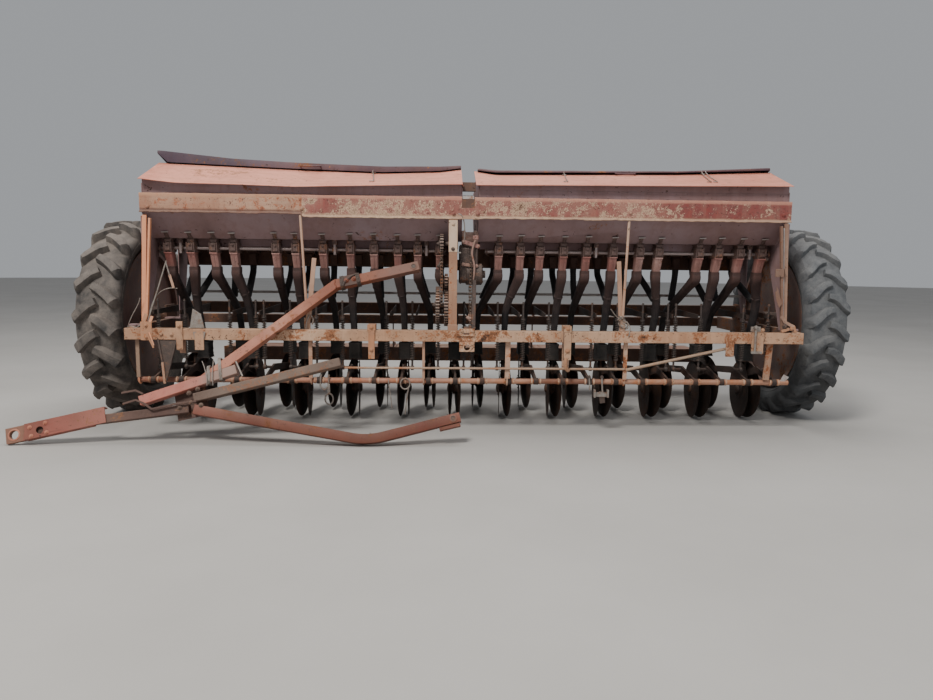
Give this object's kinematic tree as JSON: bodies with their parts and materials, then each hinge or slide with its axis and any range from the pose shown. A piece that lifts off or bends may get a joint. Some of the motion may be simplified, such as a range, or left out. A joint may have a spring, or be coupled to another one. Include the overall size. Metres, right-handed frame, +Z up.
{
  "type": "seed drill",
  "caption": "Towed grain and fertiliser seed drill with two long hoppers, metering units, seed tubes, disc openers, large wheels and an unbolted drawbar leaning on its front beam.",
  "frame": {"origin": "on the ground, under the middle of the machine's footprint box, with the leaning drawbar in that box", "axes": "+Z up, +Y from the front beam to the footboard at the back, +X to the right of someone who looks at the front beam"},
  "size_m": [4.5385, 1.7451, 1.5535],
  "materials": {
    "beam_paint": "faded paint over rust",
    "frame_steel": "rusty dark paint",
    "tyre_rubber": "weathered rubber",
    "rim_paint": "dull dark red paint",
    "hopper_paint": "oxidised red paint",
    "roof_paint": "chalky salmon-red paint",
    "belt_paint": "flaking red paint and rust",
    "lid_paint": "oxidised red paint",
    "metering_paint": "dull red paint",
    "bare_shaft": "worn bright steel",
    "tube_rubber": "black rubber",
    "drive_steel": "greasy rusty iron",
    "opener_steel": "rusty iron",
    "board_paint": "worn red paint",
    "drawbar_paint": "red-brown paint",
    "pale_rod": "pale rusty steel"
  },
  "bodies": {
    "chassis": {"front_beam": "beam_paint", "side_rails": "frame_steel", "rear_beam": "frame_steel", "axles": "frame_steel", "side_plates": "hopper_paint", "front_posts": "beam_paint", "stay_rods": "beam_paint", "belt_left": "belt_paint", "belt_right": "belt_paint", "centre_bridge": "frame_steel", "hopper_left": "hopper_paint", "hopper_right": "hopper_paint", "roof_left": "roof_paint", "roof_right": "roof_paint", "lid_hinges": "lid_paint", "metering_left": "metering_paint", "metering_right": "metering_paint", "metering_shafts": "bare_shaft", "fertiliser_units": "metering_paint", "fertiliser_tubes": "tube_rubber", "seed_tubes_left": "tube_rubber", "seed_tubes_right": "tube_rubber", "drive_gears": "drive_steel", "drive_gearbox": "drive_steel", "hinge_bars": "pale_rod", "bar_hangers": "beam_paint", "beam_brackets": "beam_paint", "thin_rods": "pale_rod", "lift_bearings": "frame_steel", "link_rod": "pale_rod", "footboard": "board_paint", "footboard_brackets": "frame_steel", "hitch_head": "drawbar_paint", "drawbar_arm_upper": "drawbar_paint", "drawbar_arm_lower": "drawbar_paint", "drawbar_centre_bar": "drawbar_paint", "drawbar_neck": "drawbar_paint", "drawbar_straps": "drawbar_paint", "drawbar_stub": "drawbar_paint"},
    "wheel_left": {"tyre_left": "tyre_rubber", "rim_left": "rim_paint"},
    "wheel_right": {"tyre_right": "tyre_rubber", "rim_right": "rim_paint"},
    "lid_left": {"lid_left": "lid_paint"},
    "lid_right": {"lid_right": "lid_paint"},
    "openers": {"leashes": "opener_steel", "opener_bodies": "opener_steel", "opener_discs": "opener_steel", "seed_boots": "tube_rubber"},
    "spring_rods": {"spring_rods": "drive_steel"},
    "lift": {"lift_shaft": "frame_steel", "lift_arms": "frame_steel"}
  },
  "joints": [
    {"name": "wheel_left_spin", "type": "hinge", "parent": "chassis", "child": "wheel_left", "pos_m": [-1.9657, 0.0725, 0.59], "axis": [1, 0, 0], "continuous": true},
    {"name": "wheel_right_spin", "type": "hinge", "parent": "chassis", "child": "wheel_right", "pos_m": [2.1443, 0.0725, 0.59], "axis": [1, 0, 0], "continuous": true},
    {"name": "lid_left_hinge", "type": "hinge", "parent": "chassis", "child": "lid_left", "pos_m": [-0.8107, 0.2425, 1.4], "axis": [-1, 0, 0], "range_deg": [0, 100]},
    {"name": "lid_right_hinge", "type": "hinge", "parent": "chassis", "child": "lid_right", "pos_m": [0.9893, 0.2425, 1.4], "axis": [-1, 0, 0], "range_deg": [0, 100]},
    {"name": "opener_lift", "type": "hinge", "parent": "chassis", "child": "openers", "pos_m": [0.0893, -0.5275, 0.29], "axis": [1, 0, 0], "range_deg": [0, 9]},
    {"name": "rod_swing", "type": "hinge", "parent": "openers", "child": "spring_rods", "pos_m": [0.0893, -0.3075, 0.33], "axis": [1, 0, 0], "range_deg": [-9, 0]},
    {"name": "lift_turn", "type": "hinge", "parent": "chassis", "child": "lift", "pos_m": [0.0893, 0.2425, 0.645], "axis": [1, 0, 0], "range_deg": [-4, 0]}
  ],
  "couplings": [
    {"joint": "rod_swing", "follows": "opener_lift", "ratio": -1},
    {"joint": "lift_turn", "follows": "opener_lift", "ratio": -0.39}
  ]
}
